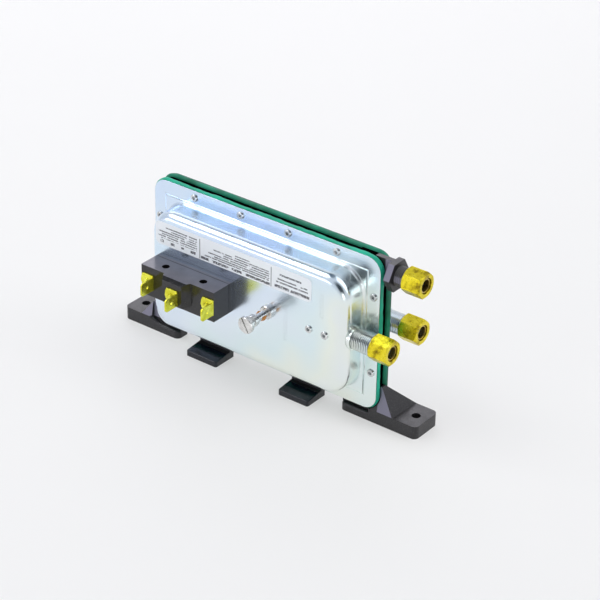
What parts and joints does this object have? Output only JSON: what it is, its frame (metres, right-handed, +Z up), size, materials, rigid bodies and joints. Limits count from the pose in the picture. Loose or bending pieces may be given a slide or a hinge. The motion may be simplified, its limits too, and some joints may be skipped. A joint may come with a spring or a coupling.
{
  "type": "air flow switch",
  "caption": "Diaphragm air flow switch: drawn steel housings on a moulded plate with feet, a snap switch, a slotted adjusting screw and hose fittings at one end.",
  "frame": {"origin": "midway between the two foot holes, on the surface that the feet stand on", "axes": "+X towards the hose fittings, -Y out of the face with the snap switch, +Z up"},
  "size_m": [0.1972, 0.0693, 0.0972],
  "materials": {
    "moulded": "matte",
    "zinc_steel": "bright",
    "silicone": "satin",
    "rivets": "bright",
    "plate_steel": "satin",
    "aluminium": "satin",
    "spring_steel": "satin",
    "brass": "bright",
    "ferrule_brass": "satin",
    "switch_plastic": "satin",
    "plunger_plastic": "satin",
    "contact_bronze": "satin",
    "screw_steel": "bright",
    "lock_compound": "glossy",
    "label_film": "satin"
  },
  "bodies": {
    "case": {"centre_plate": "moulded", "front_housing": "zinc_steel", "rear_housing": "zinc_steel", "front_diaphragm": "silicone", "rear_diaphragm": "silicone", "flange_rivets": "rivets", "front_port_tube": "zinc_steel", "rear_port_tube": "zinc_steel", "lever_bracket": "plate_steel", "lever_rivets": "rivets", "lever_pin": "plate_steel", "switch_case": "switch_plastic", "switch_lid": "switch_plastic", "switch_screws": "plate_steel", "blade_pin": "plate_steel", "left_terminal": "brass", "middle_terminal": "brass", "right_terminal": "brass", "terminal_rivets": "brass", "screw_bushing": "plate_steel", "calibration_spring": "spring_steel", "label": "label_film"},
    "diaphragm_centre": {"front_backing_plate": "aluminium", "rear_backing_plate": "aluminium", "diaphragm_spacer": "aluminium", "diaphragm_stud": "plate_steel", "stud_nut": "plate_steel"},
    "lever": {"lever_arm": "plate_steel"},
    "plunger": {"switch_plunger": "plunger_plastic"},
    "contact_arm": {"switch_blade": "contact_bronze"},
    "spring_seat": {"spring_seat": "plate_steel"},
    "adjusting_screw": {"adjusting_screw": "screw_steel", "screw_lock": "lock_compound"},
    "front_ferrule": {"front_ferrule": "ferrule_brass"},
    "front_nut": {"front_nut": "brass"},
    "rear_ferrule": {"rear_ferrule": "ferrule_brass"},
    "rear_nut": {"rear_nut": "brass"},
    "centre_ferrule": {"centre_ferrule": "ferrule_brass"},
    "centre_nut": {"centre_nut": "brass"}
  },
  "joints": [
    {"name": "diaphragm_travel", "type": "slide", "parent": "case", "child": "diaphragm_centre", "axis": [0, -1, 0], "range_m": [0, 0.0005], "stiffness_N_per_m": 400, "deforming": ["front_diaphragm", "rear_diaphragm"]},
    {"name": "lever_pivot", "type": "hinge", "parent": "case", "child": "lever", "pos_m": [0.04, -0.0166, 0.0523], "axis": [0, 0, 1], "range_deg": [0, 0.72]},
    {"name": "plunger_travel", "type": "slide", "parent": "case", "child": "plunger", "axis": [0, -1, 0], "range_m": [0, 0.00093]},
    {"name": "contact_arm_pivot", "type": "hinge", "parent": "case", "child": "contact_arm", "pos_m": [-0.0518, -0.0295, 0.0526], "axis": [0, 0, -1], "range_deg": [0, 2.95]},
    {"name": "screw_travel", "type": "slide", "parent": "case", "child": "spring_seat", "axis": [0, 1, 0], "range_m": [-0.00079, 0.00079], "deforming": ["calibration_spring"]},
    {"name": "screw_turn", "type": "hinge", "parent": "spring_seat", "child": "adjusting_screw", "pos_m": [0.0152, -0.0265, 0.0531], "axis": [0, 1, 0], "range_deg": [-361, 361]},
    {"name": "front_nut_travel", "type": "slide", "parent": "case", "child": "front_ferrule", "axis": [1, 0, 0], "range_m": [0, 0.00317]},
    {"name": "front_nut_turn", "type": "hinge", "parent": "front_ferrule", "child": "front_nut", "pos_m": [0.0847, -0.01915, 0.0523], "axis": [1, 0, 0], "range_deg": [0, 1081]},
    {"name": "rear_nut_travel", "type": "slide", "parent": "case", "child": "rear_ferrule", "axis": [1, 0, 0], "range_m": [0, 0.00317]},
    {"name": "rear_nut_turn", "type": "hinge", "parent": "rear_ferrule", "child": "rear_nut", "pos_m": [0.0847, 0.00695, 0.0523], "axis": [1, 0, 0], "range_deg": [0, 1081]},
    {"name": "centre_nut_travel", "type": "slide", "parent": "case", "child": "centre_ferrule", "axis": [1, 0, 0], "range_m": [0, 0.00317]},
    {"name": "centre_nut_turn", "type": "hinge", "parent": "centre_ferrule", "child": "centre_nut", "pos_m": [0.0941, -0.0061, 0.0886], "axis": [1, 0, 0], "range_deg": [0, 1081]}
  ],
  "couplings": [
    {"joint": "lever_pivot", "follows": "diaphragm_travel", "rad_per_m": 25},
    {"joint": "plunger_travel", "follows": "diaphragm_travel", "ratio": 1.845},
    {"joint": "contact_arm_pivot", "follows": "diaphragm_travel", "rad_per_m": 102.5},
    {"joint": "screw_turn", "follows": "screw_travel", "rad_per_m": 7915.8},
    {"joint": "front_nut_turn", "follows": "front_nut_travel", "rad_per_m": 5936.9},
    {"joint": "rear_nut_turn", "follows": "rear_nut_travel", "rad_per_m": 5936.9},
    {"joint": "centre_nut_turn", "follows": "centre_nut_travel", "rad_per_m": 5936.9}
  ]
}
